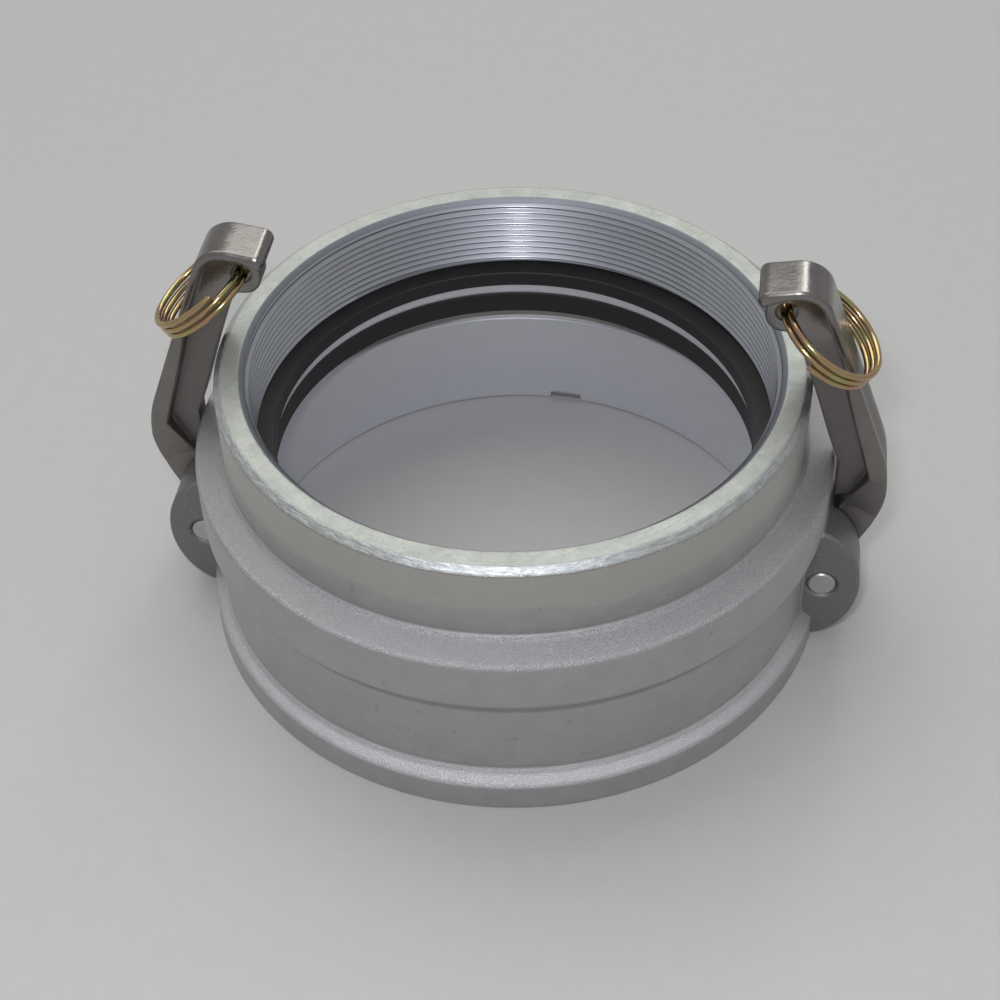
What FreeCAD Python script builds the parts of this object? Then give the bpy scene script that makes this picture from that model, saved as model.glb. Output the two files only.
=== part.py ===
import FreeCAD, Part
import Sketcher
import math
import os

os.makedirs("parts", exist_ok=True)
doc = FreeCAD.newDocument("cam_and_groove_coupling")

# Driving dimensions, in millimetres and degrees

dimensions = {
    "mouth_radius": 88.3,
    "body_height": 93.0,
    "mouth_lead_in": 0.6,
    "lower_wall_thickness": 8.1,
    "base_reach": 4.0,
    "base_edge": 0.4,
    "base_height": 9.7,
    "base_ledge_rise": 3.4,
    "step_height": 46.5,
    "step_reach": 3.85,
    "step_drop": 0.7,
    "band_height": 16.6,
    "band_ledge_rise": 3.3,
    "ledge_edge_bevel": 0.9,
    "ledge_hollow_bevel": 1.3,
    "thread_root_inset": 6.38,
    "thread_wall_thickness": 9.18,
    "rim_bevel_width": 2.15,
    "rim_bevel_height": 2.0,
    "thread_mouth_bevel": 1.6,
    "relief_bottom": 36.9,
    "relief_height": 8.7,
    "relief_depth": 1.1,
    "lip_height": 3.6,
    "gasket_groove_height": 9.1,
    "gasket_groove_depth": 2.9,
    "gasket_ledge_height": 3.9,
    "gasket_ledge_inset": 12.1,
    "thread_seat_height": 5.9,
    "thread_seat_undercut": 0.68,
    "mark_width": 11.0,
    "mark_height": 2.8,
    "mark_depth": 1.3,
    "mark_angle": 85.9,
    "pin_outset": 3.8,
    "pin_height": 25.05,
    "pin_radius": 4.5,
    "pin_edge": 0.5,
    "pin_recess": 0.15,
    "pin_hole_clearance": 0.02,
    "arm_hole_clearance": 0.06,
    "ear_face": 19.9,
    "ear_gap_half": 5.6,
    "ear_centre_back": 5.1,
    "ear_centre_drop": 0.2,
    "ear_half_length": 16.85,
    "ear_half_height": 23.1,
    "ear_edge_bevel": 0.7,
    "ear_hole_bevel": 0.9,
    "window_below_pin": 13.25,
    "window_above_pin": 18.25,
    "bridge_reach": 5.1,
    "cut_overrun": 4.0,
    "arm_half_width": 8.05,
    "arm_neck_half": 5.2,
    "arm_web_half": 3.5,
    "neck_inner_reach": 22.5,
    "neck_outer_reach": 37.7,
    "cam_back_radius": 10.8,
    "cam_lobe_radius": 8.2,
    "cam_lobe_back": 8.0,
    "cam_lobe_rise": 1.0,
    "arm_edge_bevel": 0.7,
    "ring_hole_radius": 3.2,
    "ring_hole_back": 19.4,
    "ring_hole_rise": 26.75,
    "ring_radius": 16.7,
    "ring_wire_radius": 1.05,
    "ring_pitch": 2.35,
    "ring_turns": 2.62,
    "ring_lean": 36.1,
    "ring_start_right": 252.2,
    "ring_start_left": 263.4,
    "gasket_inset": 11.9,
    "gasket_side_clearance": 0.15,
    "gasket_rim_clearance": 0.4,
    "gasket_edge": 0.8,
    "seat_gasket_inset": 13.5,
    "seat_gasket_thickness": 5.4,
    "seat_gasket_edge": 0.3,
}
ring_wire_sides = 6

# Corners of the cam arm's outlines: distance outward from its pivot, height above the level that
# the corner follows, rounding radius

corners_from_pivot = {
    "heel": (8.43, 1.92, 0.0),
    "elbow": (20.31, 28.18, 45.0),
    "pocket_end": (10.6, 35.0, 4.0),
    "shoulder": (4.2, 23.0, 0.0),
    "lobe_top": (-3.6, 6.6, 0.0),
    "web_root": (1.4, 23.9, 0.0),
    "web_foot": (13.57, 27.81, 0.0),
}
corners_from_band_top = {
    "web_lower": (-2.14, 8.8, 0.0),
    "web_ledge": (1.1, 0.25, 0.0),
}
corners_from_rim = {
    "curl": (-9.13, 38.96, 10.0),
    "tip_top": (-27.8, 35.65, 3.0),
    "tip_bottom": (-27.6, 30.25, 1.5),
    "tip_under": (-20.5, 33.65, 6.0),
    "curl_under": (-10.7, 35.15, 7.0),
    "neck_under": (-1.7, 11.67, 25.0),
    "belly_under": (1.21, -1.36, 0.0),
    "web_tip_top": (-25.5, 34.35, 0.0),
    "web_tip_bottom": (-25.3, 19.71, 6.0),
    "web_notch": (-16.17, 19.71, 3.5),
    "web_upper": (-8.5, -1.45, 0.0),
    "web_belly": (3.54, -1.36, 0.0),
    "web_neck": (-0.36, 11.67, 0.0),
    "web_side": (-7.76, 31.08, 0.0),
    "web_curl": (-11.42, 35.45, 0.0),
    "web_crown": (-15.73, 36.66, 0.0),
    "web_top": (-20.78, 36.36, 0.0),
}
flange_outline = ["heel", "elbow", "curl", "tip_top", "tip_bottom", "tip_under", "curl_under",
                  "neck_under", "belly_under", "pocket_end", "shoulder", "lobe_top"]
web_outline = ["web_tip_top", "web_tip_bottom", "web_notch", "web_upper", "web_lower", "web_ledge",
               "web_root", "web_foot", "web_belly", "web_neck", "web_side", "web_curl",
               "web_crown", "web_top"]
for table in [corners_from_pivot, corners_from_band_top, corners_from_rim]:
    for name, (outward, rise, rounding) in table.items():
        dimensions[name + "_outward"] = outward
        dimensions[name + "_rise"] = rise
        dimensions[name + "_round"] = rounding

sizes = doc.addObject("Spreadsheet::Sheet", "sizes")
for row, name in enumerate(dimensions, start=1):
    sizes.set("A%d" % row, name)
    sizes.set("B%d" % row, str(dimensions[name]))
    sizes.setAlias("B%d" % row, name)
doc.recompute()


class Size:
    """A number together with the text that binds it to the sheet."""

    def __init__(self, value, text):
        self.value = value
        self.text = text

    def join(self, other, sign, value):
        return Size(value, "(%s %s %s)" % (self.text, sign, other.text))

    def __add__(self, other):
        other = as_size(other)
        return self.join(other, "+", self.value + other.value)

    def __sub__(self, other):
        other = as_size(other)
        return self.join(other, "-", self.value - other.value)

    def __mul__(self, other):
        other = as_size(other)
        return self.join(other, "*", self.value * other.value)

    def __neg__(self):
        return Size(-self.value, "(-%s)" % self.text)


def as_size(number):
    """Plain numbers take part in sums of sizes."""
    return number if isinstance(number, Size) else Size(float(number), repr(float(number)))


def of(name):
    """The named dimension of the sheet."""
    return Size(dimensions[name], "sizes." + name)


# Radii and heights that follow from the dimensions

bore = of("mouth_radius")
relief = bore + of("relief_depth")
groove_radius = bore + of("gasket_groove_depth")
lower_wall = bore + of("lower_wall_thickness")
base_radius = lower_wall + of("base_reach")
band_radius = lower_wall + of("step_reach")
thread_root = bore - of("thread_root_inset")
thread_wall = thread_root + of("thread_wall_thickness")
seat_radius = thread_root + of("thread_seat_undercut")
band_top = of("step_height") + of("band_height")
relief_top = of("relief_bottom") + of("relief_height")
groove_bottom = relief_top + of("lip_height")
groove_top = groove_bottom + of("gasket_groove_height")
seat_bottom = groove_top + of("gasket_ledge_height")
seat_top = seat_bottom + of("thread_seat_height")
pin_offset = lower_wall + of("pin_outset")
pin_hole_radius = of("pin_radius") + of("pin_hole_clearance")
ear_root = bore - of("cut_overrun")
ear_reach = pin_offset - of("ear_centre_back") + of("ear_half_length") + of("cut_overrun")
hole_height = of("body_height") + of("ring_hole_rise")


# Sketching

def origin_feature(body, role):
    """The plane or axis of the body's own origin with this role."""
    for feature in body.Origin.OriginFeatures:
        if feature.Role == role:
            return feature
    raise ValueError(role)


def new_body(name):
    body = doc.addObject("PartDesign::Body", name)
    body.Label = name
    return body


def new_sketch(body, name, role):
    sketch = body.newObject("Sketcher::SketchObject", name)
    sketch.AttachmentSupport = [(origin_feature(body, role), "")]
    sketch.MapMode = "FlatFace"
    return sketch


def bind(sketch, constraint, size):
    """Adds a constraint and binds its value."""
    index = sketch.addConstraint(constraint)
    sketch.setExpression("Constraints[%d]" % index, size.text)


def place_point(sketch, edge, end, across, up):
    """Holds a point at its distances from the sketch's origin."""
    if across.value == 0:
        sketch.addConstraint(Sketcher.Constraint("PointOnObject", edge, end, -2))
    else:
        bind(sketch, Sketcher.Constraint("DistanceX", -1, 1, edge, end, across.value), across)
    if up.value == 0:
        sketch.addConstraint(Sketcher.Constraint("PointOnObject", edge, end, -1))
    else:
        bind(sketch, Sketcher.Constraint("DistanceY", -1, 1, edge, end, up.value), up)


def draw_outline(sketch, corners):
    """Draws a closed outline of straight edges through the corners."""
    corners = [(as_size(across), as_size(up)) for across, up in corners]
    points = [FreeCAD.Vector(across.value, up.value, 0) for across, up in corners]
    count = len(points)
    edges = [sketch.addGeometry(Part.LineSegment(points[i], points[(i + 1) % count]), False)
             for i in range(count)]
    for i in range(count):
        after = (i + 1) % count
        sketch.addConstraint(Sketcher.Constraint("Coincident", edges[i], 2, edges[after], 1))
        place_point(sketch, edges[i], 1, *corners[i])


def draw_circle(sketch, across, up, radius):
    """Draws a circle held at its centre and radius."""
    across = as_size(across)
    up = as_size(up)
    centre = FreeCAD.Vector(across.value, up.value, 0)
    circle = sketch.addGeometry(Part.Circle(centre, FreeCAD.Vector(0, 0, 1), radius.value), False)
    place_point(sketch, circle, 3, across, up)
    bind(sketch, Sketcher.Constraint("Radius", circle, radius.value), radius)


# Features

def swept(body, kind, name, sketch, length):
    """Pads or pockets a sketch to both sides alike."""
    feature = body.newObject("PartDesign::" + kind, name)
    feature.Profile = sketch
    feature.Midplane = True
    feature.Refine = False
    feature.setExpression("Length", length.text)
    return feature


def turned(body, kind, name, sketch, axis):
    """Turns a sketch once round one of its axes."""
    feature = body.newObject("PartDesign::" + kind, name)
    feature.Profile = sketch
    feature.ReferenceAxis = (sketch, [axis])
    feature.Angle = 360
    feature.Refine = False
    return feature


def turned_copies(body, name, features):
    """Repeats features on the opposite side of the body."""
    pattern = body.newObject("PartDesign::PolarPattern", name)
    pattern.Originals = features
    pattern.Axis = (origin_feature(body, "Z_Axis"), [""])
    pattern.Angle = 360
    pattern.Occurrences = 2
    pattern.Refine = False
    body.Tip = pattern
    return pattern


def edges_where(feature, test):
    """Names of the feature's edges that pass the test."""
    edges = feature.Shape.Edges
    return ["Edge%d" % (i + 1) for i in range(len(edges)) if test(edges[i])]


def dressed(body, kind, name, feature, test, amount):
    """Rounds or bevels the edges that pass the test."""
    doc.recompute()
    names = edges_where(feature, test)
    if not names:
        raise ValueError(name + " finds no edge")
    result = body.newObject("PartDesign::" + kind, name)
    result.Base = (feature, names)
    result.setExpression("Radius" if kind == "Fillet" else "Size", amount.text)
    return result


# Coupling body

def build_coupling_body():
    body = new_body("coupling_body")
    outside = new_sketch(body, "outside_profile", "XZ_Plane")
    draw_outline(outside, [
        (0, 0),
        (base_radius - of("base_edge"), 0),
        (base_radius, of("base_edge")),
        (base_radius, of("base_height")),
        (lower_wall, of("base_height") + of("base_ledge_rise")),
        (lower_wall, of("step_height") - of("step_drop")),
        (band_radius, of("step_height")),
        (band_radius, band_top),
        (thread_wall, band_top + of("band_ledge_rise")),
        (thread_wall, of("body_height") - of("rim_bevel_height")),
        (thread_wall - of("rim_bevel_width"), of("body_height")),
        (0, of("body_height")),
    ])
    outline = turned(body, "Revolution", "outside", outside, "V_Axis")
    ledge_edges = dressed(body, "Chamfer", "ledge_edges", outline, is_ledge_edge,
                          of("ledge_edge_bevel"))
    dressed(body, "Chamfer", "ledge_hollows", ledge_edges, is_ledge_hollow,
            of("ledge_hollow_bevel"))

    ear_sketch = new_sketch(body, "ear_profile", "XZ_Plane")
    draw_ear(ear_sketch)
    ears = swept(body, "Pad", "ears", ear_sketch, of("ear_face") * 2)
    turned_copies(body, "all_ears", [ears])

    inside = new_sketch(body, "inside_profile", "XZ_Plane")
    draw_outline(inside, [
        (0, -of("cut_overrun")),
        (ear_reach, -of("cut_overrun")),
        (ear_reach, 0),
        (bore + of("mouth_lead_in"), 0),
        (bore, of("mouth_lead_in")),
        (bore, of("relief_bottom")),
        (relief, of("relief_bottom") + of("relief_depth")),
        (relief, relief_top - of("relief_depth")),
        (bore, relief_top),
        (bore, groove_bottom),
        (groove_radius, groove_bottom),
        (groove_radius, groove_top),
        (bore - of("gasket_ledge_inset"), groove_top),
        (bore - of("gasket_ledge_inset"), seat_bottom),
        (seat_radius, seat_bottom),
        (seat_radius, seat_top),
        (thread_root, seat_top),
        (thread_root, of("body_height") - of("thread_mouth_bevel")),
        (thread_root + of("thread_mouth_bevel"), of("body_height")),
        (0, of("body_height")),
    ])
    hollow = turned(body, "Groove", "inside", inside, "V_Axis")
    dressed(body, "Chamfer", "ear_edges", hollow, is_ear_edge, of("ear_edge_bevel"))

    bridge = lower_wall + of("bridge_reach")
    above_step = of("step_height") + of("cut_overrun")
    window_bottom = of("pin_height") - of("window_below_pin")
    window_top = of("pin_height") + of("window_above_pin")
    window_sketch = new_sketch(body, "window_profile", "XZ_Plane")
    draw_outline(window_sketch, [
        (ear_root, window_bottom),
        (bridge, window_bottom),
        (bridge, -of("cut_overrun")),
        (ear_reach, -of("cut_overrun")),
        (ear_reach, above_step),
        (bridge, above_step),
        (bridge, window_top),
        (ear_root, window_top),
    ])
    window = swept(body, "Pocket", "window", window_sketch, of("ear_gap_half") * 2)
    hole_sketch = new_sketch(body, "pin_hole_profile", "XZ_Plane")
    draw_circle(hole_sketch, pin_offset, of("pin_height"), pin_hole_radius)
    hole = swept(body, "Pocket", "pin_hole", hole_sketch, (of("ear_face") + of("cut_overrun")) * 2)
    openings = turned_copies(body, "windows_and_holes", [window, hole])
    dressed(body, "Chamfer", "ear_hole_bevels", openings, is_ear_hole_edge, of("ear_hole_bevel"))

    mark_sketch = new_sketch(body, "mouth_mark_profile", "XY_Plane")
    mark_sketch.setExpression("AttachmentOffset.Rotation.Angle", of("mark_angle").text)
    half_mark = of("mark_width") * 0.5
    draw_outline(mark_sketch, [
        (bore - of("cut_overrun"), -half_mark),
        (bore + of("mark_depth"), -half_mark),
        (bore + of("mark_depth"), half_mark),
        (bore - of("cut_overrun"), half_mark),
    ])
    swept(body, "Pocket", "mouth_mark", mark_sketch, of("mark_height") * 2)
    doc.recompute()
    return body


def is_circle_at(edge, radius, height):
    """Tests for a level circle of this radius and height."""
    curve = edge.Curve
    return (isinstance(curve, Part.Circle) and abs(curve.Radius - radius.value) < 0.01
            and abs(curve.Center.z - height.value) < 0.01)


def is_ledge_edge(edge):
    """Tests for the outer edge of the base's or the band's sloping ledge."""
    return (is_circle_at(edge, base_radius, of("base_height"))
            or is_circle_at(edge, band_radius, band_top))


def is_ledge_hollow(edge):
    """Tests for the corner in which a sloping ledge meets the wall above it."""
    return (is_circle_at(edge, lower_wall, of("base_height") + of("base_ledge_rise"))
            or is_circle_at(edge, thread_wall, band_top + of("band_ledge_rise")))


def is_ear_edge(edge):
    """Tests for the curved outline of an ear's flat face."""
    middle = edge.valueAt((edge.FirstParameter + edge.LastParameter) / 2)
    level = all(abs(abs(point.y) - of("ear_face").value) < 0.01
                for point in [edge.Vertexes[0].Point, edge.Vertexes[-1].Point, middle])
    return level and isinstance(edge.Curve, Part.Ellipse)


def is_ear_hole_edge(edge):
    """Tests for the rim of a pin hole on an ear's outer face."""
    curve = edge.Curve
    return (isinstance(curve, Part.Circle)
            and abs(curve.Radius - pin_hole_radius.value) < 0.01
            and abs(abs(curve.Center.y) - of("ear_face").value) < 0.01)


def draw_ear(sketch):
    """Draws the ear's nose as half an upright ellipse that runs back into the wall."""
    across = pin_offset - of("ear_centre_back")
    up = of("pin_height") - of("ear_centre_drop")
    high = up + of("ear_half_height")
    low = up - of("ear_half_height")
    centre = FreeCAD.Vector(across.value, up.value, 0)
    top = FreeCAD.Vector(across.value, high.value, 0)
    side = FreeCAD.Vector(across.value - of("ear_half_length").value, up.value, 0)
    ellipse = Part.Ellipse(top, side, centre)
    nose = sketch.addGeometry(Part.ArcOfEllipse(ellipse, math.pi, 2 * math.pi), False)
    sketch.exposeInternalGeometry(nose)
    upright = nose + 1
    level = nose + 2
    place_point(sketch, nose, 3, across, up)
    sketch.addConstraint(Sketcher.Constraint("Vertical", upright))
    for axis, half in [(upright, of("ear_half_height")), (level, of("ear_half_length"))]:
        bind(sketch, Sketcher.Constraint("Distance", axis, 2 * half.value), half * 2)
    points = [FreeCAD.Vector(x.value, y.value, 0)
              for x, y in [(across, high), (ear_root, high), (ear_root, low), (across, low)]]
    above, behind, below = [sketch.addGeometry(Part.LineSegment(points[i], points[i + 1]), False)
                            for i in range(3)]
    sketch.addConstraint(Sketcher.Constraint("Coincident", nose, 2, above, 1))
    sketch.addConstraint(Sketcher.Constraint("Coincident", above, 2, behind, 1))
    sketch.addConstraint(Sketcher.Constraint("Coincident", behind, 2, below, 1))
    sketch.addConstraint(Sketcher.Constraint("Coincident", below, 2, nose, 1))
    sketch.addConstraint(Sketcher.Constraint("Horizontal", above))
    sketch.addConstraint(Sketcher.Constraint("Vertical", behind))
    sketch.addConstraint(Sketcher.Constraint("Horizontal", below))
    sketch.addConstraint(Sketcher.Constraint("PointOnObject", above, 1, upright))
    bind(sketch, Sketcher.Constraint("DistanceX", -1, 1, behind, 1, ear_root.value), ear_root)


# Cam arms

def corner(name):
    """A corner of the arm's outlines, from the pivot."""
    rise = of(name + "_rise")
    if name in corners_from_band_top:
        rise = rise + band_top - of("pin_height")
    elif name in corners_from_rim:
        rise = rise + of("body_height") - of("pin_height")
    return of(name + "_outward"), rise


def is_cross_edge(edge):
    """Tests for an edge across the arm."""
    start = edge.Vertexes[0].Point
    end = edge.Vertexes[-1].Point
    return abs(start.y - end.y) > 1 and math.hypot(start.x - end.x, start.z - end.z) < 0.01


def is_side_edge(edge):
    """Tests for an edge of the arm's flat side faces, clear of the pivot end."""
    return not is_cross_edge(edge) and all(
        abs(abs(vertex.Point.y) - of("arm_half_width").value) < 0.01
        and vertex.Point.z > of("neck_inner_reach").value for vertex in edge.Vertexes)


def round_corners(body, feature, names):
    """Rounds the named corners one after another."""
    for name in names:
        rounding = of(name + "_round")
        if rounding.value > 0:
            across, up = corner(name)

            def is_here(edge):
                start = edge.Vertexes[0].Point
                apart = math.hypot(start.x - across.value, start.z - up.value)
                return is_cross_edge(edge) and apart < 0.05

            feature = dressed(body, "Fillet", name + "_rounding", feature, is_here, rounding)
    return feature


def build_cam_arm(name):
    body = new_body(name)
    flange_sketch = new_sketch(body, "flange_profile", "XZ_Plane")
    draw_outline(flange_sketch, [corner(item) for item in flange_outline])
    flange = swept(body, "Pad", "flange", flange_sketch, of("arm_half_width") * 2)
    flange = round_corners(body, flange, flange_outline)
    dressed(body, "Chamfer", "flange_edges", flange, is_side_edge, of("arm_edge_bevel"))

    neck_sketch = new_sketch(body, "neck_profile", "XY_Plane")
    outer = of("arm_half_width") + of("cut_overrun")
    for side in [1, -1]:
        draw_outline(neck_sketch, [
            (0, of("arm_neck_half") * side),
            (of("neck_inner_reach"), of("arm_neck_half") * side),
            (of("neck_outer_reach"), of("arm_half_width") * side),
            (of("neck_outer_reach"), outer * side),
            (0, outer * side),
        ])
    turned(body, "Groove", "neck", neck_sketch, "V_Axis")

    web_sketch = new_sketch(body, "web_profile", "XZ_Plane")
    draw_outline(web_sketch, [corner(item) for item in web_outline])
    web = swept(body, "Pad", "web", web_sketch, of("arm_web_half") * 2)
    round_corners(body, web, web_outline)

    head_sketch = new_sketch(body, "cam_back_profile", "XZ_Plane")
    draw_circle(head_sketch, 0, 0, of("cam_back_radius"))
    swept(body, "Pad", "cam_back", head_sketch, of("arm_neck_half") * 2)
    lobe_sketch = new_sketch(body, "cam_lobe_profile", "XZ_Plane")
    draw_lobe(lobe_sketch)
    swept(body, "Pad", "cam_lobe", lobe_sketch, of("arm_neck_half") * 2)

    across_arm = (of("arm_half_width") + of("cut_overrun")) * 2
    pivot_sketch = new_sketch(body, "pivot_hole_profile", "XZ_Plane")
    draw_circle(pivot_sketch, 0, 0, of("pin_radius") + of("arm_hole_clearance"))
    swept(body, "Pocket", "pivot_hole", pivot_sketch, across_arm)
    ring_hole_sketch = new_sketch(body, "ring_hole_profile", "XZ_Plane")
    draw_circle(ring_hole_sketch, -of("ring_hole_back"), hole_height - of("pin_height"),
                of("ring_hole_radius"))
    swept(body, "Pocket", "ring_hole", ring_hole_sketch, across_arm)
    doc.recompute()
    return body


def draw_lobe(sketch):
    """Draws the hull of the cam's back circle and its lobe circle."""
    back = of("cam_back_radius")
    lobe = of("cam_lobe_radius")
    offset = (-of("cam_lobe_back"), of("cam_lobe_rise"))
    origin = FreeCAD.Vector(0, 0, 0)
    across = FreeCAD.Vector(offset[0].value, offset[1].value, 0)
    heading = math.atan2(across.y, across.x)
    spread = math.acos((back.value - lobe.value) / across.Length)
    normal = FreeCAD.Vector(0, 0, 1)
    upper = heading - spread
    lower = heading + spread
    large = Part.Circle(origin, normal, back.value)
    small = Part.Circle(across, normal, lobe.value)
    arc_large = sketch.addGeometry(Part.ArcOfCircle(large, lower, upper + 2 * math.pi), False)
    arc_small = sketch.addGeometry(Part.ArcOfCircle(small, upper, lower), False)

    def on_circle(centre, radius, angle):
        return centre + FreeCAD.Vector(math.cos(angle), math.sin(angle), 0) * radius

    top = sketch.addGeometry(Part.LineSegment(on_circle(origin, back.value, upper),
                                              on_circle(across, lobe.value, upper)), False)
    bottom = sketch.addGeometry(Part.LineSegment(on_circle(across, lobe.value, lower),
                                                 on_circle(origin, back.value, lower)), False)
    sketch.addConstraint(Sketcher.Constraint("Tangent", arc_large, 2, top, 1))
    sketch.addConstraint(Sketcher.Constraint("Tangent", top, 2, arc_small, 1))
    sketch.addConstraint(Sketcher.Constraint("Tangent", arc_small, 2, bottom, 1))
    sketch.addConstraint(Sketcher.Constraint("Tangent", bottom, 2, arc_large, 1))
    sketch.addConstraint(Sketcher.Constraint("Coincident", arc_large, 3, -1, 1))
    place_point(sketch, arc_small, 3, *offset)
    bind(sketch, Sketcher.Constraint("Radius", arc_large, back.value), back)
    bind(sketch, Sketcher.Constraint("Radius", arc_small, lobe.value), lobe)


# Pivot pins, pull rings and gaskets

def build_pivot_pin(name):
    body = new_body(name)
    sketch = new_sketch(body, "pin_profile", "XZ_Plane")
    draw_circle(sketch, 0, 0, of("pin_radius"))
    length = (of("ear_face") - of("pin_recess")) * 2
    shank = swept(body, "Pad", "shank", sketch, length)
    dressed(body, "Chamfer", "pin_edges", shank,
            lambda edge: isinstance(edge.Curve, Part.Circle), of("pin_edge"))
    doc.recompute()
    return body


def build_pull_ring(name):
    """A coil of wire, its round section drawn with straight sides to keep its facets few."""
    body = new_body(name)
    sketch = new_sketch(body, "wire_profile", "XZ_Plane")
    start = of("ring_pitch") * of("ring_turns") * -0.5
    angles = [2 * math.pi * (i + 0.5) / ring_wire_sides for i in range(ring_wire_sides)]
    draw_outline(sketch, [(of("ring_radius") + of("ring_wire_radius") * math.cos(angle),
                           start + of("ring_wire_radius") * math.sin(angle)) for angle in angles])
    coil = body.newObject("PartDesign::AdditiveHelix", "coil")
    coil.Profile = sketch
    coil.ReferenceAxis = (sketch, ["V_Axis"])
    coil.Mode = "pitch-turns-angle"
    coil.setExpression("Pitch", of("ring_pitch").text)
    coil.setExpression("Turns", of("ring_turns").text)
    doc.recompute()
    return body


def build_gasket(name, inner, outer, bottom, top, edge):
    body = new_body(name)
    sketch = new_sketch(body, "gasket_profile", "XZ_Plane")
    draw_outline(sketch, [
        (inner + edge, bottom),
        (outer - edge, bottom),
        (outer, bottom + edge),
        (outer, top - edge),
        (outer - edge, top),
        (inner + edge, top),
        (inner, top - edge),
        (inner, bottom + edge),
    ])
    turned(body, "Revolution", "ring", sketch, "V_Axis")
    doc.recompute()
    return body


# Pieces in their places

def put(body, rotation, across, up):
    """Places a body by rotation and by its position on the plane through the arms."""
    body.Placement = FreeCAD.Placement(FreeCAD.Vector(across.value, 0, up.value), rotation)
    body.setExpression("Placement.Base.x", across.text)
    body.setExpression("Placement.Base.z", up.text)


pieces = [build_coupling_body()]
lean = FreeCAD.Rotation(FreeCAD.Vector(0, 1, 0), dimensions["ring_lean"])
lean_angle = math.radians(dimensions["ring_lean"])
coil_reach = of("ring_radius") * Size(math.cos(lean_angle), "cos(sizes.ring_lean)")
coil_drop = of("ring_radius") * Size(math.sin(lean_angle), "sin(sizes.ring_lean)")
coil_offset = pin_offset - of("ring_hole_back") + coil_reach
for side, sense in [("right", 1), ("left", -1)]:
    facing = FreeCAD.Rotation(FreeCAD.Vector(sense, 0, 0), FreeCAD.Vector(0, sense, 0),
                              FreeCAD.Vector(0, 0, 1), "ZXY")
    wound = FreeCAD.Rotation(FreeCAD.Vector(0, 0, 1), dimensions["ring_start_" + side])
    arm = build_cam_arm("cam_arm_" + side)
    put(arm, facing, pin_offset * sense, of("pin_height"))
    pin = build_pivot_pin("pivot_pin_" + side)
    put(pin, facing, pin_offset * sense, of("pin_height"))
    ring = build_pull_ring("pull_ring_" + side)
    put(ring, facing * lean * wound, coil_offset * sense, hole_height - coil_drop)
    pieces += [arm, pin, ring]

pieces.append(build_gasket(
    "coupling_gasket", bore - of("gasket_inset"), groove_radius - of("gasket_rim_clearance"),
    groove_bottom + of("gasket_side_clearance"), groove_top - of("gasket_side_clearance"),
    of("gasket_edge")))
pieces.append(build_gasket(
    "thread_gasket", bore - of("seat_gasket_inset"), seat_radius - of("gasket_rim_clearance"),
    seat_bottom, seat_bottom + of("seat_gasket_thickness"), of("seat_gasket_edge")))

# Checks and files

doc.recompute()
for item in doc.Objects:
    if "Invalid" in item.State or "Error" in item.State:
        raise ValueError(item.Name + " did not build")
for piece in pieces:
    shape = piece.Shape
    if shape.isNull() or not shape.isValid() or len(shape.Solids) != 1:
        raise ValueError(piece.Label + " is not one valid solid")
    shape.exportStep("parts/" + piece.Label + ".step")
    print(piece.Label, round(shape.Volume, 1))
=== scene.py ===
import math
import bmesh
import bpy
from mathutils import Matrix, Vector


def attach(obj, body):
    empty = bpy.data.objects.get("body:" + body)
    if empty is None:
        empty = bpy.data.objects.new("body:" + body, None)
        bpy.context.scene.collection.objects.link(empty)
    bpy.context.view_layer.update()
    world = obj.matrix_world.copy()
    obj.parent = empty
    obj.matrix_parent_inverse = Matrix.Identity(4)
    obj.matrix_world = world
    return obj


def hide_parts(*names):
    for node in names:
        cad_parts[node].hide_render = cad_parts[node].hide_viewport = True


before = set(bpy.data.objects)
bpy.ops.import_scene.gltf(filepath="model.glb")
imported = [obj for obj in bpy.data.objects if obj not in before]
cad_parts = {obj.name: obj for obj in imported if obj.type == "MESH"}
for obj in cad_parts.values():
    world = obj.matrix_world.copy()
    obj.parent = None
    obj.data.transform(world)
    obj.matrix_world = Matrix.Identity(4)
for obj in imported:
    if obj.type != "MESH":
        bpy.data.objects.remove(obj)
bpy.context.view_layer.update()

bl_info = {
    "name": "Cam and Groove Coupling",
    "version": (1, 0, 0),
    "blender": (4, 5, 0),
    "location": "View3D > Sidebar > Coupling",
    "description": "Dresses a cam and groove coupling: pipe thread, castings, wire rings and studio",
    "category": "Object",
}

MM = 0.001
MERGE_DISTANCE = 0.001 * MM
BODY = "coupling_body"
ARMS = ["cam_arm_right", "cam_arm_left"]
PINS = ["pivot_pin_right", "pivot_pin_left"]
GASKETS = ["coupling_gasket", "thread_gasket"]

# Places on the body in millimetres: a pair is where a zone begins and ends, or where a border fades
GROOVE_HEIGHTS = (49.1, 58.4)
GROOVE_REACH = (92.5, 93.0)
BRIGHT_BORE_TOP = (63.0, 66.0)
EAR_FOOT = 14.6
EAR_REACH = (96.75, 97.0)
EAR_OUTER_REACH = (100.6, 100.9)
EAR_SIDES = (19.6, 20.1)
EAR_SIDE_REACH = (96.6, 96.8)
LOWER_WALL_REACH = (97.2, 97.6)
TOP_LEDGE = (62.4, 67.3)
TOP_LEDGE_INNER_EDGE = (66.0, 67.6)
TOP_LEDGE_OUTER_EDGE = (62.2, 63.6)
BASE_LEDGE = (9.1, 14.2)
ABOVE_BASE_LEDGE = (20.0, 21.0)
# Heights of the painted shade in the hollows above the top ledge and the base ledge
TOP_LEDGE_HOLLOW_SHADE = (67.4, 68.6)
BASE_LEDGE_HOLLOW_SHADE = (14.2, 15.4)
TIDE_FOOT = (69.0, 69.5)
TIDE_EDGE = (69.6, 70.2)

# Places on a cam arm in millimetres
WEB_HALF_WIDTH = (3.4, 5.0)
WEB_TOP = (108.0, 114.0)
HEAD_FOOT = (104.0, 112.0)

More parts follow.
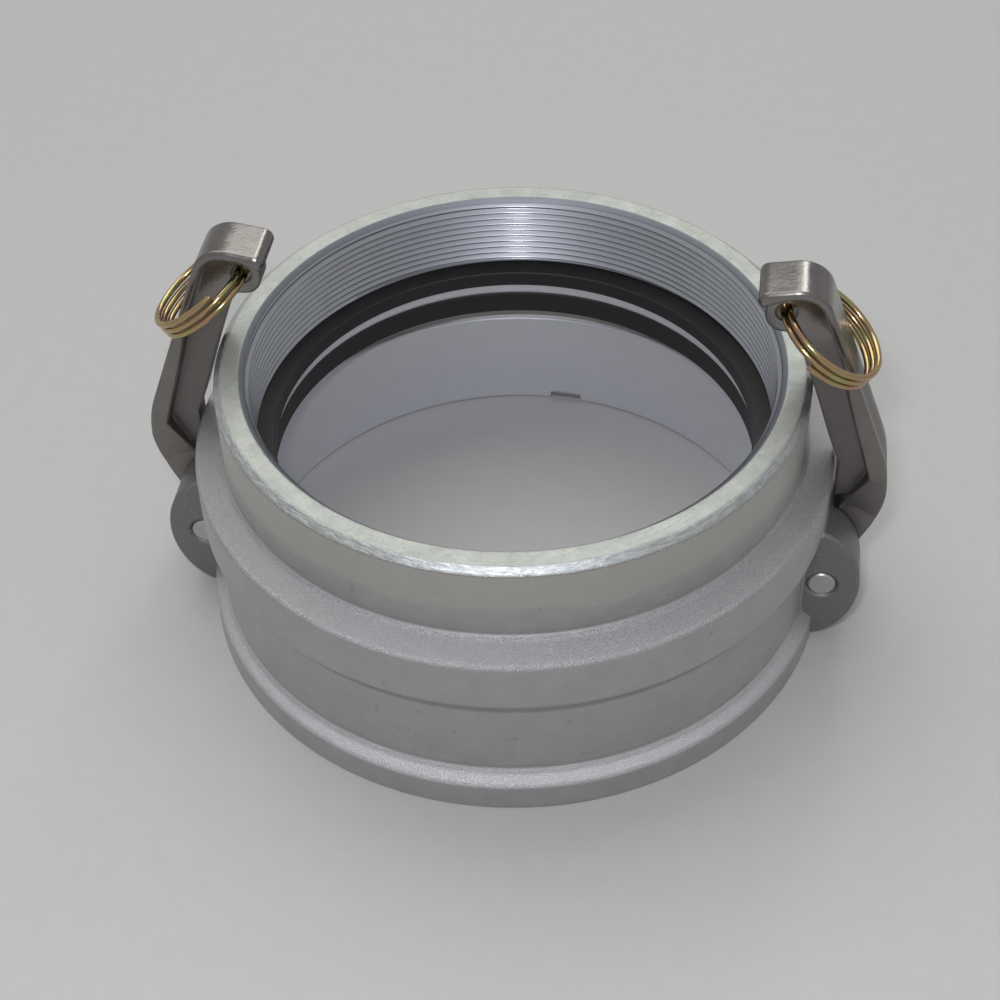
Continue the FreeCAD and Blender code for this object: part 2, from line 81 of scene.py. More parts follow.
# The camera's place in metres, and the directions of its picture's right side, lower side and view
CAMERA_PLACE = (0.06711, -0.44129, 0.46396)
CAMERA_RIGHT = (0.989825, 0.140613, -0.021796)
CAMERA_DOWN = (0.082329, -0.690882, -0.718264)
CAMERA_FORWARD = (-0.116055, 0.709161, -0.695429)
CAMERA_LENS = 68.4
CAMERA_SENSOR = 36.0

# Colours that no setting changes
# Near-white of the highlights painted into the ledges' colour
PAINTED_GLINT = (0.92, 0.92, 0.97)
PINK_PLATING = (0.48, 0.30, 0.22)
GREEN_PLATING = (0.42, 0.43, 0.20)
DAYLIGHT = (1.0, 1.0, 0.96)
COOL_LIGHT = (0.92, 0.92, 1.0)
ROOM_LIGHT = (0.98, 0.98, 1.0)


# Settings

def length(name, description, millimetres):
    """A length that the user can change, stored in metres."""
    return bpy.props.FloatProperty(name=name, description=description, default=millimetres * MM,
                                   min=0.0, subtype="DISTANCE", unit="LENGTH", precision=5)


def angle(name, description, degrees):
    """An angle that the user can change."""
    return bpy.props.FloatProperty(name=name, description=description, subtype="ANGLE",
                                   default=math.radians(degrees), unit="ROTATION")


def colour(name, description, red, green, blue):
    """A colour given as it shows on screen, each part from 11 to 255."""
    linear = [((part / 255 + 0.055) / 1.055) ** 2.4 for part in (red, green, blue)]
    return bpy.props.FloatVectorProperty(name=name, description=description, size=3,
                                         default=linear, min=0.0, max=1.0, subtype="COLOR")


class CouplingSizes(bpy.types.PropertyGroup):
    """Sizes of the pipe thread and of the body's zones."""

    pitch: length("Thread pitch", "Distance between two turns of the pipe thread", 2.309)
    root: length("Thread root", "Radius at the bottom of the thread's grooves", 81.87)
    crest: length("Thread crest", "Radius at the top of the thread's ridges", 80.44)
    thread_bottom: length("Thread bottom", "Height at which the thread starts", 68.15)
    thread_top: length("Thread top", "Height at which the mouth's bevel meets the root", 91.4)
    body_height: length("Body height", "Height of the threaded end's rim", 93.0)
    bevel_height: length("Rim bevel", "Height of the bevel round the rim", 2.0)
    bore: length("Bore radius", "Radius of the bore for the adapter", 88.3)
    step: length("Step", "Height of the overhang above the lower wall", 46.5)


class RingSizes(bpy.types.PropertyGroup):
    """Sizes and place of the two wound pull rings."""

    wire: length("Wire radius", "Radius of the round wire", 1.0)
    radius: length("Coil radius", "Radius of the coil at the middle of its wire", 16.7)
    pitch: length("Coil pitch", "Distance between two turns of the coil", 2.35)
    hole_reach: length("Hole reach", "Distance of an arm's ring hole from the body's axis", 80.8)
    hole_height: length("Hole height", "Height of an arm's ring hole", 119.75)
    turns: bpy.props.FloatProperty(name="Turns", description="Turns in one coil", default=2.62,
                                   min=1.0)
    lean: angle("Lean", "Tilt of the coil's plane outward", 36.1)
    start_right: angle("Right start", "Direction in which the right coil's wire starts", 252.2)
    start_left: angle("Left start", "Direction in which the left coil's wire starts", 263.4)


class CouplingColours(bpy.types.PropertyGroup):
    """Colours of the metals and of the rubber."""

    cast: colour("Cast aluminium", "Sand-cast outer walls", 186, 185, 183)
    cast_ledge: colour("Cast ledges", "Rough sparkling ledges", 173, 171, 173)
    # Used for the real brownish stains, and also for the painted shade under the step, under the bevel
    # and above the ledges
    stain_and_painted_shade: colour("Water marks", "Brownish stains and dirt on the casting", 120, 112, 106)
    cream: colour("Tide mark", "Pale deposit round the threaded end", 200, 198, 190)
    machined: colour("Machined aluminium", "Turned bore and gasket seats", 226, 228, 233)
    thread: colour("Thread", "Cut ridges of the pipe thread", 180, 184, 192)
    rim: colour("Rim face", "Dull scratched end face", 186, 189, 184)
    bevel: colour("Rim bevel", "Fresh metal on the bevel round the rim", 204, 208, 207)
    steel: colour("Cast steel", "Cam arms", 136, 132, 129)
    pin: colour("Pin steel", "Pivot pins", 196, 199, 199)
    plating: colour("Yellow plating", "Pull rings", 186, 162, 118)
    rubber: colour("Rubber", "Gaskets", 33, 31, 32)


class StudioSettings(bpy.types.PropertyGroup):
    """Floor colour and light levels."""

    floor: colour("Floor", "Table top", 188, 188, 187)
    floor_reach: length("Floor reach", "Distance from the table top's middle to its sides", 4000.0)
    ceiling_power: bpy.props.FloatProperty(
        name="Ceiling", description="Power of the large soft lamp above", default=25.0,
        min=0.0, unit="POWER")
    window_power: bpy.props.FloatProperty(
        name="Window", description="Power of the narrow lamp far behind", default=5.0,
        min=0.0, unit="POWER")
    front_power: bpy.props.FloatProperty(
        name="Front lamp", description="Power of the small lamp beside the camera", default=1.2,
        min=0.0, unit="POWER")
    world_level: bpy.props.FloatProperty(
        name="World level", description="Strength of the room light", default=0.44, min=0.0)


def sizes():
    return bpy.context.scene.coupling_sizes


def colours():
    return bpy.context.scene.coupling_colours


# Shader nodes

class Socket:
    """A shader socket whose arithmetic adds Math nodes."""

    def __init__(self, shade, output):
        self.shade = shade
        self.output = output

    def math(self, operation, *values):
        return self.shade.node("ShaderNodeMath", {"operation": operation}, dict(enumerate(values)))

    def __add__(self, other):
        return self.math("ADD", self, other)

    def __radd__(self, other):
        return self.math("ADD", other, self)

    def __sub__(self, other):
        return self.math("SUBTRACT", self, other)

    def __rsub__(self, other):
        return self.math("SUBTRACT", other, self)

    def __mul__(self, other):
        return self.math("MULTIPLY", self, other)

    def __rmul__(self, other):
        return self.math("MULTIPLY", other, self)

    def __pow__(self, other):
        return self.math("POWER", self, other)

    def largest(self, other):
        return self.math("MAXIMUM", self, other)

    def size(self):
        return self.math("ABSOLUTE", self)


class Shade:
    """A material under construction."""

    def __init__(self, name, **settings):
        self.material = bpy.data.materials.new(name)
        self.material.use_nodes = True
        self.tree = self.material.node_tree
        self.shader = self.tree.nodes["Principled BSDF"]
        for socket, value in settings.items():
            self.set(socket.replace("_", " "), value)

    def node(self, kind, settings=None, inputs=None, output=0):
        """Adds a node, sets it up, and returns one of its outputs."""
        node = self.tree.nodes.new(kind)
        for key, value in (settings or {}).items():
            if key == "stops":
                self.fill_ramp(node.color_ramp, value)
            else:
                setattr(node, key, value)
        for key, value in (inputs or {}).items():
            self.feed(node.inputs[key], value)
        return Socket(self, node.outputs[output])

    def fill_ramp(self, ramp, stops):
        while len(ramp.elements) < len(stops):
            ramp.elements.new(0.5)
        for element, (place, value) in zip(ramp.elements, stops):
            element.position = place
            element.color = (*value, 1.0)

    def feed(self, target, value):
        if isinstance(value, Socket):
            self.tree.links.new(value.output, target)
        elif target.type == "RGBA" and len(value) == 3:
            target.default_value = (*value, 1.0)
        else:
            target.default_value = value

    def set(self, socket, value):
        self.feed(self.shader.inputs[socket], value)

    def place(self):
        """Object coordinates in millimetres."""
        where = self.node("ShaderNodeTexCoord", output="Object")
        return self.node("ShaderNodeVectorMath", {"operation": "SCALE"}, {0: where, "Scale": 1 / MM})

    def parts(self, vector):
        """The x, y and z of a vector."""
        return [self.node("ShaderNodeSeparateXYZ", inputs={0: vector}, output=k) for k in range(3)]

    def vector(self, x, y, z):
        return self.node("ShaderNodeCombineXYZ", inputs={0: x, 1: y, 2: z})

    def noise(self, vector, scale, detail=2.0, roughness=0.5):
        return self.node("ShaderNodeTexNoise", {"noise_dimensions": "3D"},
                         {"Vector": vector, "Scale": scale, "Detail": detail,
                          "Roughness": roughness})

    def scratches(self, vector, direction):
        """1 on long thin scratches that run one way, 0 elsewhere."""
        drawn_out = self.node("ShaderNodeMapping", {"vector_type": "TEXTURE"},
                              {"Vector": vector, "Rotation": direction, "Scale": (14.0, 0.5, 0.5)})
        return self.step(self.noise(drawn_out, 1.0, 1.0), 0.63, 0.69)

    def step(self, value, low, high):
        """0 below low and 1 above high, smooth between them."""
        return self.node("ShaderNodeMapRange", {"interpolation_type": "SMOOTHSTEP"},
                         {0: value, 1: low, 2: high, 3: 0.0, 4: 1.0})

    def band(self, value, low, high, soft):
        """1 between low and high, 0 outside."""
        return self.step(value, low - soft, low + soft) * (1 - self.step(value, high - soft, high + soft))

    def mix(self, factor, first, second):
        """Mixes two colours."""
        node = self.tree.nodes.new("ShaderNodeMix")
        node.data_type = "RGBA"
        self.feed(node.inputs["Factor"], factor)
        colour_inputs = [socket for socket in node.inputs if socket.type == "RGBA"]
        self.feed(colour_inputs[0], first)
        self.feed(colour_inputs[1], second)
        result = [socket for socket in node.outputs if socket.type == "RGBA"][0]
        return Socket(self, result)

    def bump(self, height, distance, edge=0.0):
        """A normal from a height given in millimetres, over edges rounded by a radius."""
        inputs = {"Height": height, "Distance": distance * MM}
        if edge:
            inputs["Normal"] = self.node("ShaderNodeBevel", {"samples": 6}, {"Radius": edge * MM})
        return self.node("ShaderNodeBump", inputs=inputs)


def dress(node, shade):
    """Gives a CAD node its material."""
    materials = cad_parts[node].data.materials
    materials.clear()
    materials.append(shade.material)


def scaled(colour_value, factor):
    """A colour made lighter or darker."""
    return tuple(part * factor for part in colour_value)


def mesh_piece(name, bm, body, material):
    """Makes a finished piece of a bmesh and lets it ride on a body."""
    mesh = bpy.data.meshes.new(name)
    bm.to_mesh(mesh)
    bm.free()
    piece = bpy.data.objects.new(name, mesh)
    bpy.context.scene.collection.objects.link(piece)
    mesh.materials.append(material)
    for face in mesh.polygons:
        face.use_smooth = True
    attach(piece, body)
    return piece


# Materials

class BodyZones:
    """Where the body's finishes lie: a zone is 1 inside and 0 outside, and the noises break it up."""

    def __init__(self, shade):
        size = sizes()
        self.where = shade.place()
        self.x, self.y, self.z = shade.parts(self.where)
        self.radius = (self.x * self.x + self.y * self.y) ** 0.5
        self.height = size.body_height / MM
        self.bevel_foot = self.height - size.bevel_height / MM
        self.step = size.step / MM
        self.broad = shade.noise(self.where, 0.035, 3.0, 0.6)
        self.mottle = shade.noise(self.where, 0.13, 4.0, 0.6)
        self.spots = shade.noise(self.where, 0.3, 3.0, 0.6)
        self.ragged = shade.noise(self.where, 0.9, 4.0, 0.7)
        self.grain = shade.noise(self.where, 3.6, 2.0, 0.6)
        self.find_turned(shade, size.bore / MM)
        self.find_ears(shade)
        self.find_cast(shade)
        self.marks = shade.scratches(self.where, (0.2, 0.0, 0.7)).largest(
            shade.scratches(self.where, (0.0, 0.2, 2.2)))

    def find_turned(self, shade, bore):
        """The bore with its gasket groove, the rim's face, the rim's bevel and the mouth's lip."""
        groove = shade.band(self.z, *GROOVE_HEIGHTS, 0.1) * (1 - shade.step(self.radius, *GROOVE_REACH))
        self.turned = (1 - shade.step(self.radius, bore + 0.2, bore + 0.45)).largest(groove)
        self.lip = shade.step(self.z, self.height - 1.7, self.height - 1.5) * self.turned
        self.bright_bore = self.turned * (1 - shade.step(self.z, *BRIGHT_BORE_TOP))
        self.rim = shade.step(self.z, self.height - 0.12, self.height - 0.05)
        ragged_height = self.z + self.ragged * 2.2
        self.bevel = (shade.step(ragged_height, self.bevel_foot + 0.9, self.bevel_foot + 1.3)
                      * (1 - self.rim) * (1 - self.turned))

    def find_ears(self, shade):
        """The ears: what stands off the lower wall, their outer ends and their flat sides."""
        below_step = 1 - shade.step(self.z, self.step - 0.8, self.step - 0.5)
        off_the_wall = (shade.step(self.radius, *EAR_REACH)
                        * shade.band(self.z, EAR_FOOT, self.step - 0.8, 0.2))
        flat_sides = (shade.band(self.y.size(), *EAR_SIDES, 0.05)
                      * shade.step(self.radius, *EAR_SIDE_REACH) * below_step)
        ends = shade.step(self.radius, *EAR_OUTER_REACH)
        self.ears = off_the_wall.largest(ends).largest(flat_sides)

    def find_cast(self, shade):
        """The rough casting with its two grainy ledges, the painted shade under the step, under the bevel
        and in the hollows above the ledges, and the tide mark.
        """
        z = self.z
        self.rough_cast = (1 - self.turned) * (1 - self.rim) * (1 - self.bevel)
        ledges = shade.band(z, *TOP_LEDGE, 0.5).largest(shade.band(z, *BASE_LEDGE, 0.5))
        self.ledges = ledges * self.rough_cast * (1 - self.ears)
        self.base_ledge = self.ledges * (1 - shade.step(z, *ABOVE_BASE_LEDGE))
        # The top ledge's two edges, which get the brightest painted glints
        edges = shade.band(z, *TOP_LEDGE_OUTER_EDGE, 0.3).largest(
            shade.band(z, *TOP_LEDGE_INNER_EDGE, 0.3))
        self.ledge_edges = edges * self.ledges

        # Painted shade: a dark band on the lower wall under the step's overhang, a dark line under the
        # rim's bevel, and darkening in the hollows above both ledges, kept off the ears
        shadow_under_step = (shade.band(z, self.step - 6.6, self.step, 0.4)
                      * (1 - shade.step(self.radius, *LOWER_WALL_REACH)) * 0.4)
        shadow_under_bevel = shade.band(z, self.bevel_foot - 0.6, self.bevel_foot + 0.2, 0.3) * 0.35
        shade_above_top_ledge = shade.band(z, *TOP_LEDGE_HOLLOW_SHADE, 0.8) * 0.15
        shade_above_base_ledge = shade.band(z, *BASE_LEDGE_HOLLOW_SHADE, 0.8) * 0.15
        painted_shade = shadow_under_step.largest(shadow_under_bevel).largest(shade_above_top_ledge).largest(shade_above_base_ledge)
        self.painted_shade = painted_shade * (1 - self.ears)
        self.tide = (shade.step(z - self.broad * 9.0 - self.mottle * 5.0, *TIDE_EDGE)
                     * shade.step(z, *TIDE_FOOT) * self.rough_cast)


def cast_colour(shade, zones):
    """The casting, with stains, tide mark and painted shade, darker ears, and ledges with painted glints
    and a painted sheen on the base ledge.
    """
    paint = colours()
    cast = shade.mix(zones.mottle, scaled(paint.cast, 0.86), scaled(paint.cast, 1.12))
    cast = shade.mix(shade.step(zones.spots, 0.62, 0.8) * 0.35, cast, tuple(paint.stain_and_painted_shade))
    cast = shade.mix(zones.tide * 0.45, cast, tuple(paint.cream))
    # Painted shade in the stain colour, under the step, under the bevel and in the hollows above the
    # ledges
    cast = shade.mix(zones.painted_shade, cast, tuple(paint.stain_and_painted_shade))
    cast = shade.mix(zones.ears, cast, scaled(paint.cast, 0.52))
    # Painted sheen: the base ledge gets a lighter copy of the ledge colour, standing in for the front
    # lamp's bright reflection on it
    ledge = shade.mix(zones.base_ledge, tuple(paint.cast_ledge), scaled(paint.cast_ledge, 1.55))
    cast = shade.mix(zones.ledges * 0.8, cast, ledge)
    # Painted highlights: near-white glints on the grainy ledges, strongest on the top ledge's edges and
    # on the base ledge, standing in for the front lamp's sparkle
    painted_glints = zones.ledges * 0.3 + zones.ledge_edges * 0.4 + zones.base_ledge * 0.45
    cast = shade.mix(shade.step(zones.grain, 0.5, 0.64) * painted_glints, cast, PAINTED_GLINT)
    return shade.mix(zones.marks * zones.rough_cast * 0.2, cast, tuple(paint.bevel))


def rim_colour(shade, zones):
    """The dull end face, with bright scratches and dark patches."""
    paint = colours()
    face = shade.mix(zones.mottle, scaled(paint.rim, 1.22), scaled(paint.rim, 0.74))
    face = shade.mix(zones.marks * 0.45, face, tuple(paint.bevel))
    return shade.mix(shade.step(zones.ragged, 0.54, 0.7) * 0.4, face, scaled(paint.rim, 0.5))


def cast_aluminium():
    """Sand-cast walls and grainy ledges, a turned bore and a scratched rim, told apart by place."""
    paint = colours()
    shade = Shade("cast_aluminium", Metallic=1.0)
    zones = BodyZones(shade)
    turned, rim, bevel, rough_cast = zones.turned, zones.rim, zones.bevel, zones.rough_cast

    machined = shade.mix(zones.mottle * 0.5, tuple(paint.machined), scaled(paint.machined, 0.82))
    smeared = shade.noise(shade.vector(zones.x * 0.3, zones.y * 0.3, zones.z * 2.0), 0.9, 4.0, 0.65)
    fresh = shade.mix(shade.step(smeared, 0.3, 0.7), scaled(paint.bevel, 0.72),
                      scaled(paint.bevel, 1.08))
    base = shade.mix(turned, cast_colour(shade, zones), machined)
    base = shade.mix(zones.lip, base, scaled(paint.thread, 0.62))
    base = shade.mix(rim, base, rim_colour(shade, zones))
    shade.set("Base Color", shade.mix(bevel, base, fresh))

    rough = rough_cast * (0.5 + zones.mottle * 0.12 - zones.ledges * 0.08 - zones.base_ledge * 0.1)
    rough = rough + turned * (1 - rim) * (0.33 + zones.mottle * 0.1 + zones.lip * 0.15)
    rough = rough + rim * (0.55 + zones.mottle * 0.1) + bevel * (0.3 + zones.ragged * 0.2)
    shade.set("Roughness", rough)
    shade.set("Metallic", 1 - zones.bright_bore * 0.5)

    lathe = shade.noise(shade.vector(zones.radius, 0.0, zones.z), 3.0, 1.0)
    relief = zones.grain * rough_cast * (0.35 + zones.ledges * 1.5) + zones.broad * rough_cast * 2.5
    relief = relief + lathe * turned * 0.2 + smeared * bevel * 2.5 + zones.ragged * rim * 0.3
    relief = relief - zones.marks * (rim * 0.4 + rough_cast * 0.2)
    shade.set("Normal", shade.bump(relief, 0.14, edge=1.3))
    return shade


def turned_aluminium():
    """The pipe thread's ridges, pale on the crests, with painted shade in the roots."""
    size = sizes()
    paint = colours()
    shade = Shade("turned_aluminium", Metallic=1.0, Coat_Weight=1.0, Coat_Roughness=0.16,
                  Coat_IOR=1.9)
    where = shade.place()
    x, y, _ = shade.parts(where)
    radius = (x * x + y * y) ** 0.5
    depth = shade.step(radius, (size.crest * 0.35 + size.root * 0.65) / MM, size.root / MM)
    cloud = shade.noise(where, 0.1, 3.0)
    ridge = shade.mix(cloud, scaled(paint.thread, 0.92), scaled(paint.thread, 0.74))
    # Painted shade: the colour darkens towards the bottom of each groove
    shade.set("Base Color", shade.mix(depth * 0.45, ridge, scaled(paint.thread, 0.4)))
    shade.set("Roughness", 0.3 + cloud * 0.08 + depth * 0.15)
    shade.set("Normal", shade.bump(shade.noise(where, 2.2, 2.0), 0.006))
    return shade


def rumbled_steel():
    """Cast steel, worn bright on the heads, duller and pitted in the hollows, with painted shade on the
    recessed web.
    """
    paint = colours()
    shade = Shade("rumbled_steel", Metallic=1.0)
    where = shade.place()
    _, y, z = shade.parts(where)
    cloud = shade.noise(where, 0.16, 4.0, 0.6)
    pits = shade.noise(where, 1.1, 3.0, 0.6)
    web = (1 - shade.step(y.size(), *WEB_HALF_WIDTH)) * (1 - shade.step(z, *WEB_TOP))
    head = shade.step(z, *HEAD_FOOT)
    base = shade.mix(cloud, scaled(paint.steel, 0.78), scaled(paint.steel, 1.18))
    base = shade.mix(shade.step(pits, 0.6, 0.72) * 0.3, base, scaled(paint.steel, 0.4))
    # Painted shade: the web, recessed between the flanges, is darkened
    shade.set("Base Color", shade.mix(web * 0.3, base, scaled(paint.steel, 0.45)))
    shade.set("Roughness", 0.34 + cloud * 0.12 + web * 0.08 - head * 0.2)
    shade.set("Normal", shade.bump(pits * 0.6 + cloud * 1.2, 0.07, edge=1.0))
    return shade


def pin_steel():
    """Plain bright steel, pale and flat on its ends."""
    paint = colours()
    shade = Shade("pin_steel", Metallic=1.0)
    where = shade.place()
    cloud = shade.noise(where, 0.6, 3.0)
    shade.set("Base Color", shade.mix(cloud, tuple(paint.pin), scaled(paint.pin, 0.85)))
    shade.set("Roughness", 0.3 + cloud * 0.15)
    shade.set("Normal", shade.bump(shade.noise(where, 2.5, 2.0), 0.03, edge=0.5))
    return shade


def plated_wire():
    """Yellow passivated zinc with faint pink and green patches."""
    shade = Shade("plated_wire", Metallic=1.0)
    where = shade.place()
    drift = shade.noise(where, 0.12, 2.0)
    stops = [(0.3, PINK_PLATING), (0.5, tuple(colours().plating)), (0.7, GREEN_PLATING)]
    tint = shade.node("ShaderNodeValToRGB", {"stops": stops}, {0: drift})
    shade.set("Base Color", tint)
    shade.set("Roughness", 0.14 + shade.noise(where, 0.8, 3.0) * 0.1)
    shade.set("Normal", shade.bump(shade.noise(where, 1.5, 2.0), 0.02))
    return shade


def black_rubber():
    """Moulded rubber with a faint bloom."""
    paint = colours()
    shade = Shade("black_rubber")
    where = shade.place()
    bloom = shade.noise(where, 0.1, 4.0, 0.6)
    shade.set("Base Color", shade.mix(bloom, scaled(paint.rubber, 0.8), scaled(paint.rubber, 1.7)))
    shade.set("Roughness", 0.5 + bloom * 0.2)
    shade.set("Normal", shade.bump(shade.noise(where, 1.2, 3.0), 0.05))
    return shade


# Operators

class COUPLING_OT_finish_body(bpy.types.Operator):
    """Gives the coupling body its casting, ledges, bore and bevel"""

    bl_idname = "coupling.finish_body"
    bl_label = "Finish Body"

    def execute(self, context):
        dress(BODY, cast_aluminium())
        return {"FINISHED"}


class COUPLING_OT_cut_thread(bpy.types.Operator):
    """Cuts the fine pipe thread on the wall of the threaded end"""

    bl_idname = "coupling.cut_thread"
    bl_label = "Cut Thread"

    def execute(self, context):
        size = sizes()
        bm = bmesh.new()
        self.draw_ridge(bm, size)
        self.wind(bm, size)
        self.trim(bm, size)
        bmesh.ops.recalc_face_normals(bm, faces=bm.faces)
        piece = mesh_piece("pipe_thread", bm, "body", turned_aluminium().material)
        face = piece.data.polygons[0]
        if face.normal.dot(face.center * Vector((1, 1, 0))) > 0:
            piece.data.flip_normals()
        return {"FINISHED"}

    def draw_ridge(self, bm, size):
        """One ridge of the thread in section, from root to root, with its corners broken."""
        start = size.thread_bottom - size.pitch
        half_flat = size.pitch / 12
        half = size.pitch / 2
        profile = [bm.verts.new((size.root, 0, start)),
                   bm.verts.new((size.root, 0, start + half_flat)),
                   bm.verts.new((size.crest, 0, start + half - half_flat)),
                   bm.verts.new((size.crest, 0, start + half + half_flat)),
                   bm.verts.new((size.root, 0, start + size.pitch - half_flat)),
                   bm.verts.new((size.root, 0, start + size.pitch))]
        for pair in zip(profile, profile[1:]):
            bm.edges.new(pair)
        bmesh.ops.bevel(bm, geom=profile[1:-1], affect="VERTICES", offset=half_flat * 0.8,
                        segments=1, profile=0.5, material=-1)

    def wind(self, bm, size):
        """Winds one turn, and sets copies of it on top of one another past both ends."""
        steps_per_turn = 240
        spare_turns = 2
        turns = math.ceil((size.thread_top - size.thread_bottom) / size.pitch) + spare_turns
        bmesh.ops.spin(bm, geom=bm.verts[:] + bm.edges[:], cent=(0, 0, 0), axis=(0, 0, 1),
                       dvec=(0, 0, size.pitch / steps_per_turn), angle=math.tau,
                       steps=steps_per_turn)
        first_turn = bm.verts[:] + bm.edges[:] + bm.faces[:]
        for turn in range(1, turns):
            copied = bmesh.ops.duplicate(bm, geom=first_turn)["geom"]
            copied_verts = [item for item in copied if isinstance(item, bmesh.types.BMVert)]
            bmesh.ops.translate(bm, verts=copied_verts, vec=(0, 0, size.pitch * turn))
        bmesh.ops.remove_doubles(bm, verts=bm.verts, dist=MERGE_DISTANCE)

    def trim(self, bm, size):
        """Cuts the thread off level at both ends, and turns the mouth's bevel on it at 45 degrees."""
        for height, outward in [(size.thread_bottom, -1), (size.thread_top, 1)]:
            bmesh.ops.bisect_plane(bm, geom=bm.verts[:] + bm.edges[:] + bm.faces[:],
                                   plane_co=(0, 0, height), plane_no=(0, 0, outward),
                                   clear_outer=True)
        for vert in bm.verts:
            across = math.hypot(vert.co.x, vert.co.y)
            least = size.root - (size.thread_top - vert.co.z)
            if across < least:
                vert.co.xy = vert.co.xy * (least / across)


class COUPLING_OT_finish_arms(bpy.types.Operator):
    """Gives the cam arms their rumbled steel"""

    bl_idname = "coupling.finish_arms"
    bl_label = "Finish Arms"

    def execute(self, context):
        shade = rumbled_steel()
        for node in ARMS:
            dress(node, shade)
        return {"FINISHED"}


class COUPLING_OT_finish_pins(bpy.types.Operator):
    """Gives the pivot pins their bright steel"""

    bl_idname = "coupling.finish_pins"
    bl_label = "Finish Pins"

    def execute(self, context):
        shade = pin_steel()
        for node in PINS:
            dress(node, shade)
        return {"FINISHED"}


class COUPLING_OT_wind_rings(bpy.types.Operator):
    """Winds the two pull rings of round plated wire"""

    bl_idname = "coupling.wind_rings"
    bl_label = "Wind Rings"

    def execute(self, context):
        size = context.scene.coupling_rings
        material = plated_wire().material
        self.wind(size, "right", 0.0, size.start_right, material)
        self.wind(size, "left", math.pi, size.start_left, material)
        return {"FINISHED"}

    def wind(self, size, side, facing, start, material):
        """Winds one ring on the side of the body that faces the given way."""
        wire_sides = 14
        steps_per_turn = 64
        steps = round(size.turns * steps_per_turn)
        bm = bmesh.new()
        bmesh.ops.create_circle(bm, segments=wire_sides, radius=size.wire)
        bmesh.ops.rotate(bm, verts=bm.verts, matrix=Matrix.Rotation(math.pi / 2, 3, "X"))
        bmesh.ops.translate(bm, verts=bm.verts, vec=(size.radius, 0, -size.pitch * size.turns / 2))
        bmesh.ops.spin(bm, geom=bm.verts[:] + bm.edges[:], cent=(0, 0, 0), axis=(0, 0, 1),
                       dvec=(0, 0, size.pitch * size.turns / steps),
                       angle=math.tau * size.turns, steps=steps)
        bmesh.ops.remove_doubles(bm, verts=bm.verts, dist=MERGE_DISTANCE)
        ends = bmesh.ops.holes_fill(bm, edges=[edge for edge in bm.edges if edge.is_boundary])
        bmesh.ops.recalc_face_normals(bm, faces=bm.faces)
        centre = Vector((size.hole_reach + size.radius * math.cos(size.lean), 0,
                         size.hole_height - size.radius * math.sin(size.lean)))
        bmesh.ops.transform(bm, verts=bm.verts, matrix=(
            Matrix.Rotation(facing, 4, "Z") @ Matrix.Translation(centre)
            @ Matrix.Rotation(size.lean, 4, "Y") @ Matrix.Rotation(start, 4, "Z")))
        for edge in {edge for face in ends["faces"] for edge in face.edges}:
            edge.smooth = False
        piece = mesh_piece("wound_ring_" + side, bm, "ring_" + side, material)
        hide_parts("pull_ring_" + side)


class COUPLING_OT_finish_gaskets(bpy.types.Operator):
    """Gives the gaskets their black rubber"""

    bl_idname = "coupling.finish_gaskets"
    bl_label = "Finish Gaskets"

    def execute(self, context):
        shade = black_rubber()
        for node in GASKETS:
            dress(node, shade)
        return {"FINISHED"}


